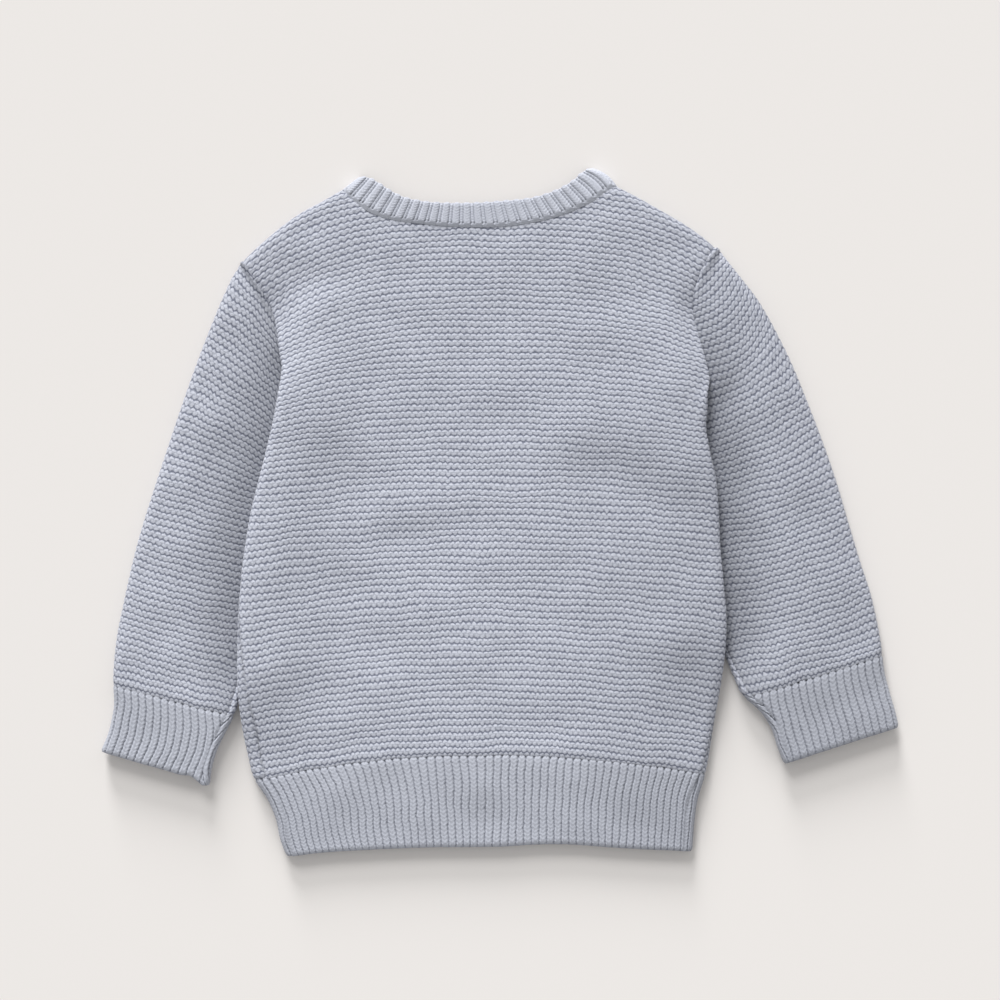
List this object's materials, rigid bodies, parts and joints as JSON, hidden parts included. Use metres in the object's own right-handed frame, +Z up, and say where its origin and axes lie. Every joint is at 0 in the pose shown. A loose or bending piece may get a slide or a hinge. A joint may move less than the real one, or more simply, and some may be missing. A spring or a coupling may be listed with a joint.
{
  "type": "baby sweater",
  "caption": "Long-sleeved crew-neck baby sweater in garter stitch with ribbed neck, cuffs and hem, laid flat on its front with its back upwards.",
  "frame": {"origin": "centre of the bounding box, on the surface that the sweater lies on", "axes": "+X across the sweater from sleeve to sleeve, +Y from the hem to the neck, +Z up, from the front to the back of the garment"},
  "size_m": [0.438, 0.3779, 0.0112],
  "materials": {
    "garter_knit": "matt knitted cotton, pale blue-grey",
    "rib_knit": "matt ribbed cotton, pale blue-grey"
  },
  "bodies": {
    "root": {"back": "garter_knit", "front": "garter_knit", "hem_rib_back": "rib_knit", "hem_rib_front": "rib_knit", "sleeve_left": "garter_knit", "sleeve_right": "garter_knit", "cuff_left": "rib_knit", "cuff_right": "rib_knit", "neckband": "rib_knit"}
  },
  "joints": []
}
